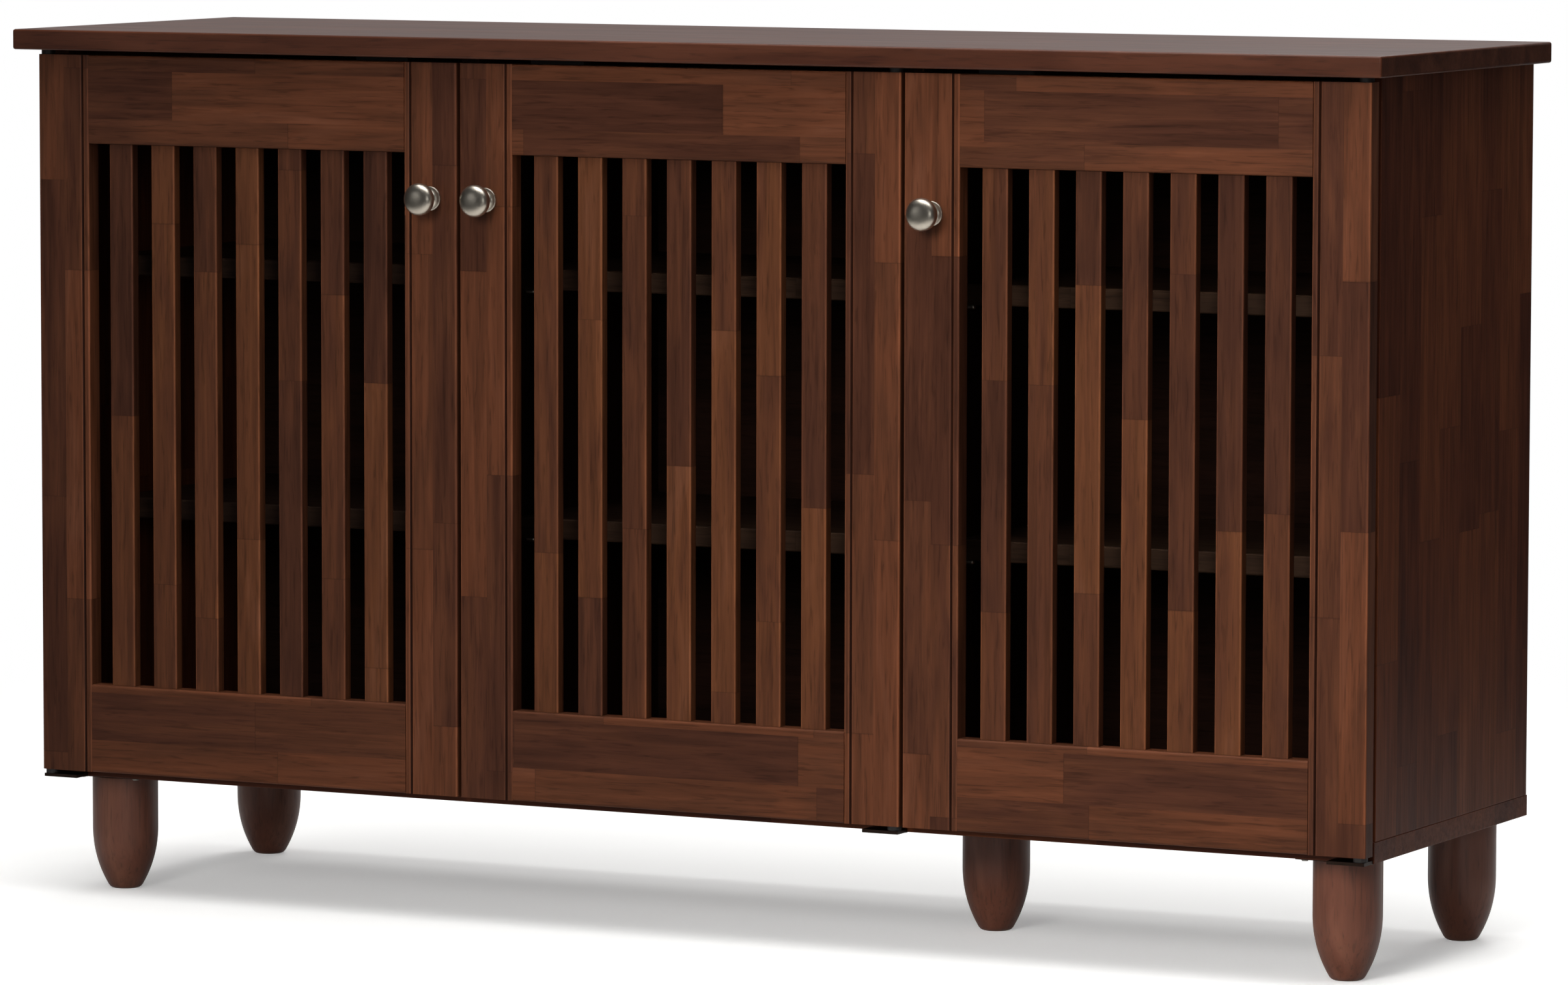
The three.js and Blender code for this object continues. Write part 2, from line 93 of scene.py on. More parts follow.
def glued_strips(tree, axes, along, across, strip, first, block, seed):
    """Random numbers for each block of a board that is glued up from finger-jointed strips.

    Returns a value and a colour that are the same all over one block, and how far a point
    is from the end of its block, as a share of the block's length.
    """
    def maths(operation, a, b=0.0, c=0.0):
        inputs = {0: a, 1: b, 2: c}
        return add_node(tree, "ShaderNodeMath", inputs, operation=operation).outputs[0]

    # Each strip's blocks start at a random place, and their lengths drift along the strip.
    row = maths("FLOOR", maths("DIVIDE", maths("SUBTRACT", axes[across], first), strip))
    row_random = add_node(
        tree, "ShaderNodeTexWhiteNoise",
        {"W": maths("ADD", row, seed)}, noise_dimensions="1D",
    ).outputs["Value"]
    length = maths("DIVIDE", axes[along], block)
    drift = add_node(
        tree, "ShaderNodeTexNoise",
        {"W": maths("MULTIPLY_ADD", row, 3.7, length), "Scale": 0.9, "Detail": 0.0},
        noise_dimensions="1D",
    ).outputs[0]
    drifted = maths("MULTIPLY_ADD", drift, 0.6, length)
    places = maths("ADD", drifted, maths("MULTIPLY", row_random, 9.7))
    key = add_node(tree, "ShaderNodeCombineXYZ", {0: row, 1: maths("FLOOR", places), 2: seed})
    tone = add_node(
        tree, "ShaderNodeTexWhiteNoise", {"Vector": key.outputs[0]}, noise_dimensions="3D",
    )
    end = maths("PINGPONG", places, 0.5)
    return tone.outputs["Value"], tone.outputs["Color"], end


def lacquered_wood(
    name, stops, along, across,
    strip=None, first=0.0, block=0.2, seed=0.0,
    grain=0.26, roughness=0.46, sheen_level=0.14, edge=2.2,
):
    """Stained wood under satin lacquer, with its grain along one axis.

    stops are the stain's tones from dark to light. strip is the width of the glued strips,
    first the place where one strip starts and block the length of its blocks, in metres.
    grain is how strongly the grain shows, and edge how much lighter the rounded edges are
    painted: partly for thinner stain on the sanded arrises, partly as a painted highlight.
    """
    material, tree, shader = start_material(name)
    place = add_node(tree, "ShaderNodeTexCoord")
    split = add_node(tree, "ShaderNodeSeparateXYZ", {0: place.outputs["Object"]})
    axes = dict(zip("XYZ", split.outputs))

    # Growth rings are about 5 mm apart and run 140 mm before they fade. Pores are 2 mm
    # wide, drawn coarser than the real 0.2 mm so that they show, and 30 mm long. The figure
    # is mottling about 20 mm across and 125 mm long.
    ring_scale = [7.0 if axis == along else 200.0 for axis in "XYZ"]
    pore_scale = [32.0 if axis == along else 520.0 for axis in "XYZ"]
    figure_scale = [8.0 if axis == along else 50.0 for axis in "XYZ"]

    if strip:
        value, shift, end = glued_strips(tree, axes, along, across, strip, first, block, seed)
        start = add_node(
            tree, "ShaderNodeVectorMath",
            {0: shift, 1: (7.0, 7.0, 7.0), 2: place.outputs["Object"]},
            operation="MULTIPLY_ADD",
        ).outputs[0]
    else:
        value, start, end = None, place.outputs["Object"], None

    def noise(scales, detail, rough):
        stretched = add_node(
            tree, "ShaderNodeVectorMath", {0: start, 1: scales}, operation="MULTIPLY",
        ).outputs[0]
        inputs = {
            "Vector": stretched, "Scale": 1.0, "Detail": detail,
            "Roughness": rough, "Distortion": 0.8,
        }
        return add_node(tree, "ShaderNodeTexNoise", inputs).outputs["Fac"]

    rings = noise(ring_scale, 5.0, 0.6)
    pores = noise(pore_scale, 2.0, 0.5)
    figure = noise(figure_scale, 3.0, 0.5)

    # A block's own tone and the figure mix to the middle of the ramp on average.
    shade = figure
    if strip:
        part = add_node(
            tree, "ShaderNodeMath", {0: value, 1: 0.37, 2: 0.015}, operation="MULTIPLY_ADD",
        ).outputs[0]
        shade = add_node(
            tree, "ShaderNodeMath", {0: figure, 1: 0.6, 2: part}, operation="MULTIPLY_ADD",
        ).outputs[0]
    stain = add_node(tree, "ShaderNodeValToRGB", {0: shade})
    set_ramp(stain, stops)

    # Noise lies mostly between 0.3 and 0.7, which spread stretches to the range it is given.
    def spread(source, low, high, to_low, to_high):
        return add_node(
            tree, "ShaderNodeMapRange",
            {0: source, 1: low, 2: high, 3: to_low, 4: to_high},
        ).outputs[0]

    def scaled(colour, factor):
        return add_node(
            tree, "ShaderNodeVectorMath", {0: colour, "Scale": factor}, operation="SCALE",
        ).outputs[0]

    colour = scaled(stain.outputs[0], spread(rings, 0.3, 0.7, 1 - grain, 1 + grain))
    colour = scaled(colour, spread(pores, 0.3, 0.46, 0.68, 1.0))
    if strip:
        # The glue line at a block's end is a dark hairline about half a millimetre wide.
        colour = scaled(colour, spread(end, 0.0, 0.0006 / block, 0.7, 1.0))
    # The rounded edges, found by their leaning normals, are painted lighter: partly thinner stain
    # on the sanded arrises, partly a painted highlight.
    facing = add_node(
        tree, "ShaderNodeVectorMath", {0: place.outputs["Normal"]}, operation="ABSOLUTE",
    ).outputs[0]
    sides = add_node(tree, "ShaderNodeSeparateXYZ", {0: facing}).outputs
    flatness = add_node(
        tree, "ShaderNodeMath", {0: sides[0], 1: sides[1]}, operation="MAXIMUM",
    ).outputs[0]
    flatness = add_node(
        tree, "ShaderNodeMath", {0: flatness, 1: sides[2]}, operation="MAXIMUM",
    ).outputs[0]
    colour = scaled(colour, spread(flatness, 0.99, 0.8, 1.0, edge))

    height = add_node(
        tree, "ShaderNodeMath", {0: pores, 1: rings}, operation="ADD",
    ).outputs[0]
    bump = add_node(
        tree, "ShaderNodeBump", {"Height": height, "Strength": 0.25, "Distance": 0.0002},
    ).outputs[0]
    rough = spread(rings, 0.3, 0.7, roughness + 0.05, roughness - 0.05)
    tree.links.new(colour, shader.inputs["Base Color"])
    tree.links.new(rough, shader.inputs["Roughness"])
    tree.links.new(bump, shader.inputs["Normal"])
    shader.inputs["IOR"].default_value = 1.5
    shader.inputs["Specular IOR Level"].default_value = sheen_level
    return material


def soften(shape, edges, radius, segments=3):
    """Rounds edges of a shape."""
    bmesh.ops.bevel(
        shape, geom=edges, offset=radius, offset_type="OFFSET", segments=segments,
        profile=0.5, affect="EDGES", material=-1, clamp_overlap=True,
    )


def box_shape(low, high):
    """A block between two corners."""
    shape = bmesh.new()
    size = high - low
    place = Matrix.Translation((low + high) / 2) @ Matrix.Diagonal((*size, 1.0))
    bmesh.ops.create_cube(shape, size=1.0, matrix=place)
    return shape


def long_edges(shape, axis):
    """A shape's edges that run along one axis."""
    others = [other for other in range(3) if other != axis]
    return [
        edge for edge in shape.edges
        if all(abs(edge.verts[0].co[o] - edge.verts[1].co[o]) < 1e-6 for o in others)
    ]


def add_piece(name, shape, material, body, slot, *replaced, second=None):
    """Makes an object from a shape, and says what it rides on and stands for.

    second is the material of the faces whose material index is 1. Faces square to an axis
    are shaded flat, the others smooth up to an edge of 35 degrees.
    """
    square_on = 0.9995
    sharpest_smooth_edge = math.radians(35)
    for face in shape.faces:
        face.smooth = max(map(abs, face.normal)) < square_on
    for edge in shape.edges:
        edge.smooth = edge.calc_face_angle(0.0) < sharpest_smooth_edge
    mesh = bpy.data.meshes.new(name)
    shape.to_mesh(mesh)
    shape.free()
    mesh.materials.append(material)
    if second:
        mesh.materials.append(second)
    piece = bpy.data.objects.new(name, mesh)
    bpy.context.scene.collection.objects.link(piece)
    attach(piece, body)
    if replaced:
        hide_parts(*replaced)
    return piece


top_edge_radius = 0.0018
top_wood = lacquered_wood(
    "stained_hardwood_top",
    [(0.3, "3f1f13"), (0.5, "492617"), (0.7, "532d1d")],
    "X", "Y", grain=0.1, roughness=0.4, sheen_level=0.35, edge=1.3,
)
shape = box_shape(*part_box("top_board"))
soften(shape, shape.edges[:], top_edge_radius)
add_piece("top", shape, top_wood, "root", "top_board_wood", "top_board")

# ---- Sides and bottom -------------------------------------------------------------------
# Boards glued up from finger-jointed strips about 40 mm wide, whose tones differ from block
# to block. The strips stand upright in the sides and run left to right in the bottom board.
carcass_strip = 0.040
carcass_tones = [
    (0.1, "391a10"), (0.35, "4b2516"), (0.5, "592e1b"), (0.65, "63351e"), (0.9, "734329"),
]
board_edge_radius = 0.0005
upright_wood = lacquered_wood(
    "finger_jointed_upright_board", carcass_tones, "Z", "Y",
    strip=carcass_strip, first=-0.131, block=0.24, seed=3.0, edge=1.15,
)
lying_wood = lacquered_wood(
    "finger_jointed_lying_board", carcass_tones, "X", "Y",
    strip=carcass_strip, first=-0.133, block=0.26, seed=8.0, edge=1.15,
)
for name in ("side_left", "side_right"):
    shape = box_shape(*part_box(name))
    soften(shape, shape.edges[:], board_edge_radius)
    add_piece(f"panel_{name}", shape, upright_wood, "root", "carcass_wood", name)
shape = box_shape(*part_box("bottom_board"))
soften(shape, shape.edges[:], board_edge_radius)
add_piece("bottom", shape, lying_wood, "root", "carcass_wood", "bottom_board")

# ---- Partitions and back ----------------------------------------------------------------
# The two partitions are glued up like the sides, with a duller finish, and their darker tones
# are painted shade for the dim inside. The back is a thin matt board, pinned to the partitions
# with small domed nails; its dark tone is painted shade too.


def dress(node, material):
    """Gives a CAD node's object a new material."""
    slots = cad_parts[node].data.materials
    slots.clear()
    slots.append(material)


# These tones are darker than the outer boards': painted shade for the dim inside.
inner_tones_painted_shade = [(0.1, "1f100a"), (0.5, "2d1a11"), (0.9, "3b2518")]
inner_wood_painted_shade = lacquered_wood(
    "finger_jointed_inner_board", inner_tones_painted_shade, "Z", "Y",
    strip=carcass_strip, first=-0.131, block=0.24, seed=5.0, roughness=0.55, sheen_level=0.1,
)
for name in ("partition_left", "partition_right"):
    dress(name, inner_wood_painted_shade)
# The back's dark tones are painted shade for the dim inside.
backing_painted_shade = lacquered_wood(
    "matt_back_board_painted_shade", [(0.3, "21140e"), (0.7, "2e1c14")],
    "X", "Z", grain=0.14, roughness=0.75, sheen_level=0.1, edge=1.1,
)
dress("back_panel", backing_painted_shade)


def turned_shape(profile, steps=48):
    """A closed profile of (radius, height) points, turned about the Z axis."""
    shape = bmesh.new()
    corners = [shape.verts.new((radius, 0.0, height)) for radius, height in profile]
    lines = [shape.edges.new(pair) for pair in zip(corners, corners[1:])]
    bmesh.ops.spin(
        shape, geom=corners + lines, cent=(0.0, 0.0, 0.0), axis=(0.0, 0.0, 1.0),
        dvec=(0.0, 0.0, 0.0), angle=math.tau, steps=steps, use_merge=True,
        use_duplicate=False,
    )
    bmesh.ops.remove_doubles(shape, verts=shape.verts[:], dist=1e-6)
    bmesh.ops.recalc_face_normals(shape, faces=shape.faces[:])
    return shape


def bend(start, corner, end, steps):
    """Points of a smooth bend from start to end that leans towards corner, past start."""
    points = []
    for step in range(1, steps + 1):
        t = step / steps
        points.append(tuple(
            (1 - t) ** 2 * a + 2 * t * (1 - t) * b + t * t * c
            for a, b, c in zip(start, corner, end)
        ))
    return points


def stand(shape, place, outward):
    """Turns a shape made along +Z to point outward, and puts its origin at a place."""
    turn = Vector(outward).to_track_quat("Z", "Y").to_matrix().to_4x4()
    bmesh.ops.transform(shape, matrix=Matrix.Translation(place) @ turn, verts=shape.verts[:])
    return shape


def plated_metal(name, hex_colour, roughness, streak, grit):
    """Metal with a fine satin finish: grit is the spacing of its marks in metres."""
    material, tree, shader = start_material(name)
    place = add_node(tree, "ShaderNodeTexCoord")
    marks = add_node(
        tree, "ShaderNodeTexNoise",
        {"Vector": place.outputs["Object"], "Scale": 1.0 / grit, "Detail": 3.0, "Roughness": 0.6},
    ).outputs["Fac"]
    wear = add_node(
        tree, "ShaderNodeTexNoise",
        {"Vector": place.outputs["Object"], "Scale": 90.0, "Detail": 3.0, "Roughness": 0.5},
    ).outputs["Fac"]
    blend = add_node(tree, "ShaderNodeMapRange", {0: wear, 1: 0.3, 2: 0.7, 3: 1 - streak, 4: 1.0})
    colour = add_node(
        tree, "ShaderNodeVectorMath", {0: to_linear(hex_colour)[:3], "Scale": blend.outputs[0]},
        operation="SCALE",
    ).outputs[0]
    rough = add_node(
        tree, "ShaderNodeMapRange",
        {0: marks, 1: 0.3, 2: 0.7, 3: roughness - 0.05, 4: roughness + 0.05},
    ).outputs[0]
    bump = add_node(
        tree, "ShaderNodeBump", {"Height": marks, "Strength": 0.12, "Distance": 0.0001},
    ).outputs[0]
    tree.links.new(colour, shader.inputs["Base Color"])
    tree.links.new(rough, shader.inputs["Roughness"])
    tree.links.new(bump, shader.inputs["Normal"])
    shader.inputs["Metallic"].default_value = 1.0
    return material


nail_radius = 0.0028
nail_rise = 0.0009
nail_shank_radius = 0.001
nail_shank_length = 0.001
nail_rows = 6
nail_steel = plated_metal("browned_steel_nails", "4a3a30", 0.5, 0.3, 0.0006)
back_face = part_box("back_panel")[1].y
for side in ("left", "right"):
    low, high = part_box(f"partition_{side}")
    shape = bmesh.new()
    for row in range(nail_rows):
        share = (row + 0.5) / nail_rows
        profile = [
            (0.0, -nail_shank_length), (nail_shank_radius, -nail_shank_length),
            (nail_shank_radius, 0.0), (nail_radius, 0.0),
        ]
        profile += bend((nail_radius, 0.0), (nail_radius * 0.8, nail_rise), (0.0, nail_rise), 4)
        head = turned_shape(profile, steps=20)
        place = ((low.x + high.x) / 2, back_face, low.z + share * (high.z - low.z))
        stand(head, place, (0, 1, 0))
        scrap = bpy.data.meshes.new("scrap")
        head.to_mesh(scrap)
        head.free()
        shape.from_mesh(scrap)
        bpy.data.meshes.remove(scrap)
    add_piece(f"back_nails_{side}", shape, nail_steel, "root", "steel_plate")

# ---- Shelves and pins -------------------------------------------------------------------
# Two loose shelves in each compartment, each on four nickel-plated pins that stand in holes
# in the upright boards. The pins are just under 5 mm thick with a rounded end.
# The shelves' tones are darker than the outer boards': painted shade for the dim inside.
shelf_wood_painted_shade = lacquered_wood(
    "finger_jointed_shelf", [(0.1, "221610"), (0.5, "32231a"), (0.9, "423023")], "X", "Y",
    strip=carcass_strip, first=-0.073, block=0.22, seed=15.0, roughness=0.55, sheen_level=0.1,
    edge=1.3,
)
shelf_play = 0.001
pin_radius = 0.0024
pin_inside = 0.0066
pin_outside = 0.007
pin_tip_height = 0.0015
pin_inset = 0.020
pin_drop = 0.0025
satin_nickel = plated_metal("satin_nickel_plate", "dad1c2", 0.34, 0.1, 0.0004)
for bay in ("left", "middle", "right"):
    for level in ("lower", "upper"):
        name = f"shelf_{bay}_{level}"
        dress(name, shelf_wood_painted_shade)
        low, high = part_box(name)
        ends = (("left", low.x - shelf_play, 1), ("right", high.x + shelf_play, -1))
        rows = (("front", low.y + pin_inset), ("back", high.y - pin_inset))
        for end, x, outward in ends:
            for row, y in rows:
                tip = (pin_radius, pin_outside - pin_tip_height)
                profile = [(0.0, -pin_inside), (pin_radius, -pin_inside), tip]
                profile += bend(tip, (pin_radius, pin_outside), (0.0, pin_outside), 4)
                shape = turned_shape(profile, steps=24)
                stand(shape, (x, y, low.z - pin_drop), (outward, 0, 0))
                add_piece(
                    f"pin_{bay}_{level}_{end}_{row}", shape, satin_nickel,
                    "root", "satin_nickel",
                )

# ---- Legs -------------------------------------------------------------------------------
# Five solid legs turned on a lathe: straight for the upper half and then drawn in by one long
# curve to a small foot with a rounded edge. Each screws on to a stud in a dark steel plate.
leg_radius = 0.02625
leg_height = 0.0919
leg_taper = 0.050
foot_radius = 0.0095
foot_ease_width = 0.005
foot_ease_height = 0.004
leg_top_arris = 0.001
stud_bore = 0.0042
stud_bore_floor = 0.0699
plate_thickness = 0.0024
plate_screw_offset = 0.0245
plate_screw_radius = 0.003
plate_screw_rise = 0.0014
leg_wood = lacquered_wood(
    "turned_beech_leg", [(0.3, "663928"), (0.5, "734432"), (0.7, "7f4f3b")],
    "Z", "X", grain=0.1, roughness=0.38, sheen_level=0.45, edge=1.0,
)
plate_steel = plated_metal("dark_lacquered_steel", "382c26", 0.42, 0.25, 0.0008)
screw_steel = plated_metal("zinc_plated_screws", "8d8a84", 0.38, 0.2, 0.0005)


def screw_head(place, outward, radius, rise):
    """A round screw head with a cross recess, and the top of its shank."""
    arm, half = radius * 0.55, radius * 0.14
    crown_radius = radius * 0.78
    recess_depth = rise * 0.7
    shank_share, shank_length = 0.5, 0.002
    outline = []
    for turn in range(4):
        spin = Matrix.Rotation(turn * math.pi / 2, 3, "Z")
        for x, y in ((arm, -half), (arm, half), (half, half)):
            outline.append(spin @ Vector((x, y, rise)))
    shape = bmesh.new()
    recess = [shape.verts.new(point) for point in outline]
    mouth = [shape.edges.new((a, b)) for a, b in zip(recess, recess[1:] + recess[:1])]
    bmesh.ops.create_circle(
        shape, cap_ends=False, radius=crown_radius, segments=24,
        matrix=Matrix.Translation((0, 0, rise)),
    )
    rim = [edge for edge in shape.edges if edge not in mouth]
    bmesh.ops.bridge_loops(shape, edges=mouth + rim)
    floor = bmesh.ops.extrude_edge_only(shape, edges=mouth)["geom"]
    lower = [item for item in floor if isinstance(item, bmesh.types.BMVert)]
    bmesh.ops.translate(shape, verts=lower, vec=(0, 0, -recess_depth))
    bmesh.ops.holes_fill(shape, edges=[i for i in floor if isinstance(i, bmesh.types.BMEdge)])
    for scale, drop in ((radius / crown_radius, rise), (shank_share, 0.0), (1.0, shank_length)):
        outer = bmesh.ops.extrude_edge_only(shape, edges=rim)["geom"]
        verts = [item for item in outer if isinstance(item, bmesh.types.BMVert)]
        rim = [
            item for item in outer
            if isinstance(item, bmesh.types.BMEdge) and all(v in verts for v in item.verts)
        ]
        bmesh.ops.scale(shape, vec=(scale, scale, 1.0), verts=verts)
        bmesh.ops.translate(shape, verts=verts, vec=(0, 0, -drop))
    bmesh.ops.holes_fill(shape, edges=rim)
    bmesh.ops.remove_doubles(shape, verts=shape.verts[:], dist=1e-6)
    bmesh.ops.recalc_face_normals(shape, faces=shape.faces[:])
    return stand(shape, place, outward)


for place in ("front_left", "front_right", "back_left", "back_right", "centre"):
    low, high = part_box(f"leg_{place}")
    centre = (low + high) / 2
    foot_edge = (foot_radius + foot_ease_width, foot_ease_height)
    profile = [(0.0, 0.0), (foot_radius, 0.0)]
    profile += bend((foot_radius, 0.0), (foot_radius + foot_ease_width * 0.6, 0.0), foot_edge, 6)
    profile += bend(foot_edge, (leg_radius, leg_taper / 2), (leg_radius, leg_taper), 20)
    profile += [(leg_radius, leg_height - leg_top_arris), (leg_radius - leg_top_arris, leg_height)]
    profile += [(stud_bore, leg_height), (stud_bore, stud_bore_floor), (0.0, stud_bore_floor)]
    shape = stand(turned_shape(profile, steps=72), (centre.x, centre.y, 0.0), (0, 0, 1))
    add_piece(f"turned_leg_{place}", shape, leg_wood, "root", "leg_wood", f"leg_{place}")

    plate = f"leg_plate_{place}"
    dress(plate, plate_steel)
    plate_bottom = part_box(plate)[1].z - plate_thickness
    for number, (dx, dy) in enumerate(((-1, -1), (1, -1), (-1, 1), (1, 1)), 1):
        spot = (
            centre.x + dx * plate_screw_offset,
            centre.y + dy * plate_screw_offset,
            plate_bottom,
        )
        shape = screw_head(spot, (0, 0, -1), plate_screw_radius, plate_screw_rise)
        add_piece(f"screw_{plate}_{number}", shape, screw_steel, "root", "steel_plate")

# ---- Door frames ------------------------------------------------------------------------
# Stiles and rails joined with tenons, cut from the same finger-jointed stock in narrower
# strips. The arrises are rounded and painted lighter, partly for thinner stain and partly as a
# painted highlight. A fine V groove runs down each stile near the slats, its walls painted
# darker as painted shade in the groove.
stile_strip = 0.0238
rail_strip = 0.038
frame_tones = [
    (0.1, "361e14"), (0.35, "48291c"), (0.5, "543120"), (0.65, "603723"), (0.9, "704531"),
]
groove_inset = 0.0055
groove_half = 0.0010
groove_depth = 0.0016
outer_arris = 0.002
inner_arris = 0.0014
groove_arris = 0.0009
glue_line = 0.0001
stile_wood = lacquered_wood(
    "finger_jointed_stile", frame_tones, "Z", "X",
    strip=stile_strip, first=-0.570, block=0.21, seed=21.0,
)
rail_wood = lacquered_wood(
    "finger_jointed_rail", frame_tones, "X", "Z",
    strip=rail_strip, first=0.1645, block=0.23, seed=34.0, edge=1.25,
)
# The groove's walls are painted darker than the stile, as painted shade in the groove.
groove_wood_painted_shade = lacquered_wood(
    "groove_painted_shade", [(0.3, "27130c"), (0.7, "341c12")], "Z", "X", edge=1.0,
)


def stile_shape(low, high, inner):
    """A stile between two corners, with its groove near the inner edge: inner is +1 or -1."""
    edge = high.x if inner > 0 else low.x
    groove = edge - inner * groove_inset
    front, back = low.y, high.y
    outline = [
        (low.x, front), (groove - groove_half, front), (groove, front + groove_depth),
        (groove + groove_half, front), (high.x, front), (high.x, back), (low.x, back),
    ]
    shape = bmesh.new()
    section = shape.faces.new([shape.verts.new((x, y, low.z)) for x, y in outline])
    grown = bmesh.ops.extrude_face_region(shape, geom=[section])["geom"]
    upper = [item for item in grown if isinstance(item, bmesh.types.BMVert)]
    bmesh.ops.translate(shape, verts=upper, vec=(0, 0, high.z - low.z))
    bmesh.ops.recalc_face_normals(shape, faces=shape.faces[:])

    def at(edges, places):
        return [
            e for e in edges
            if any((e.verts[0].co.xy - Vector(p)).length < 1e-6 for p in places)
        ]

    outer = low.x if inner > 0 else high.x
    soften(shape, at(long_edges(shape, 2), [(outer, front), (outer, back)]), outer_arris, 4)
    soften(shape, at(long_edges(shape, 2), [(edge, front), (edge, back)]), inner_arris, 3)
    rims = [(groove - groove_half, front), (groove + groove_half, front)]
    soften(shape, at(long_edges(shape, 2), rims), groove_arris, 2)
    # The groove's walls take the second, darker material: painted shade in the groove.
    for face in shape.faces:
        middle = face.calc_center_median()
        beside = abs(middle.x - groove) < groove_half
        inside = front + groove_arris / 2 < middle.y < back - groove_depth
        if beside and inside and abs(face.normal.z) < 0.5:
            face.material_index = 1
    return shape


for door in ("left", "middle", "right"):
    body = f"door_{door}"
    for side, inner in (("left", 1), ("right", -1)):
        node = f"stile_{side}_{door}"
        shape = stile_shape(*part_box(node), inner)
        add_piece(
            f"grooved_{node}", shape, stile_wood, body, "frame_wood", node, second=groove_wood_painted_shade,
        )
    opening_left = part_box(f"stile_left_{door}")[1].x
    opening_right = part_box(f"stile_right_{door}")[0].x
    for end in ("bottom", "top"):
        node = f"rail_{end}_{door}"
        low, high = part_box(node)
        low.x, high.x = opening_left + glue_line, opening_right - glue_line
        shape = box_shape(low, high)
        soften(shape, long_edges(shape, 0), outer_arris, 4)
        add_piece(f"plain_{node}", shape, rail_wood, body, "frame_wood", node)

# ---- Slats ------------------------------------------------------------------------------
# Seven upright slats in each door, set back from the frame's face, each made of one to three
# blocks in different tones. Their arrises are rounded and painted lighter, partly for thinner
# stain there and partly as a painted highlight.
slat_count = 7
slat_width = 0.021
slat_thickness = 0.010
slat_arris = 0.0014
slat_spacing = 0.0383
first_gap_middle = -0.570 + 0.0547
slat_tones = [
    (0.1, "341d15"), (0.35, "47291c"), (0.5, "53301f"), (0.65, "5f3822"), (0.9, "6e4531"),
]
slat_wood = lacquered_wood(
    "finger_jointed_slat", slat_tones, "Z", "X",
    strip=slat_spacing, first=first_gap_middle, block=0.24, seed=55.0,
)
for door in ("left", "middle", "right"):
    node = f"slats_{door}"
    low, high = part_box(node)
    opening_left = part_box(f"stile_left_{door}")[1].x
    opening_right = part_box(f"stile_right_{door}")[0].x
    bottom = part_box(f"rail_bottom_{door}")[1].z
    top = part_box(f"rail_top_{door}")[0].z
    gap = (opening_right - opening_left - slat_count * slat_width) / (slat_count + 1)
    middle = (low.y + high.y) / 2
    for number in range(slat_count):
        x = opening_left + gap + number * (slat_width + gap)
        shape = box_shape(
            Vector((x, middle - slat_thickness / 2, bottom + glue_line)),
            Vector((x + slat_width, middle + slat_thickness / 2, top - glue_line)),
        )
        soften(shape, long_edges(shape, 2), slat_arris, 3)
        replaced = [node] if number == 0 else []
        add_piece(
            f"slat_{door}_{number + 1}", shape, slat_wood, f"door_{door}", "slat_wood",
            *replaced,
        )

# ---- Knobs ------------------------------------------------------------------------------
# Turned brass knobs plated in satin nickel: a thin base ring, a slim neck and a domed round
# head. A screw from inside the door holds each one.
knob_radius = 0.0125
knob_base_radius = 0.0095
knob_neck_radius = 0.0045
knob_base_side = 0.0008
knob_base_bend = 0.0016
knob_step_radius = 0.0085
knob_step = 0.0017
knob_neck_bend = 0.0022
knob_head_back = 0.0144
knob_rim = 0.0187
knob_ease = 0.0012
knob_projection = 0.024
knob_screw_radius = 0.0038
knob_screw_rise = 0.0018
for door in ("left", "middle", "right"):
    node = f"knob_{door}"
    low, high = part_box(node)
    centre = (low + high) / 2
    base = (knob_base_radius, knob_base_side)
    step = (knob_step_radius, knob_step)
    neck = (knob_neck_radius, knob_head_back / 2)
    head_edge = (knob_radius - knob_ease, knob_head_back)
    rim = (knob_radius, knob_rim - knob_ease)
    profile = [(0.0, 0.0), (knob_base_radius, 0.0), base]
    profile += bend(base, (knob_base_radius, knob_base_bend), step, 4)
    profile += bend(step, (knob_neck_radius, knob_neck_bend), neck, 8)
    profile += bend(neck, (knob_neck_radius, knob_head_back), head_edge, 10)
    profile += bend(head_edge, (knob_radius, knob_head_back), rim, 5)
    profile += bend(rim, (knob_radius, knob_projection), (0.0, knob_projection), 20)
    shape = stand(turned_shape(profile, steps=72), (centre.x, high.y, centre.z), (0, -1, 0))
    add_piece(f"turned_{node}", shape, satin_nickel, f"door_{door}", "satin_nickel", node)
    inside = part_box(f"stile_left_{door}")[1].y
    spot = (centre.x, inside, centre.z)
    shape = screw_head(spot, (0, 1, 0), knob_screw_radius, knob_screw_rise)
    add_piece(f"screw_{node}", shape, screw_steel, f"door_{door}", "steel_plate")

# ---- Pivot hinges -----------------------------------------------------------------------
# Steel plates let into the undersides of the top and bottom boards, each with a pin that
# stands in a nylon bush in the door's edge. Two round-headed screws hold each plate.
pivot_screw_spacing = 0.018
pivot_screw_radius = 0.0034
pivot_screw_rise = 0.0014


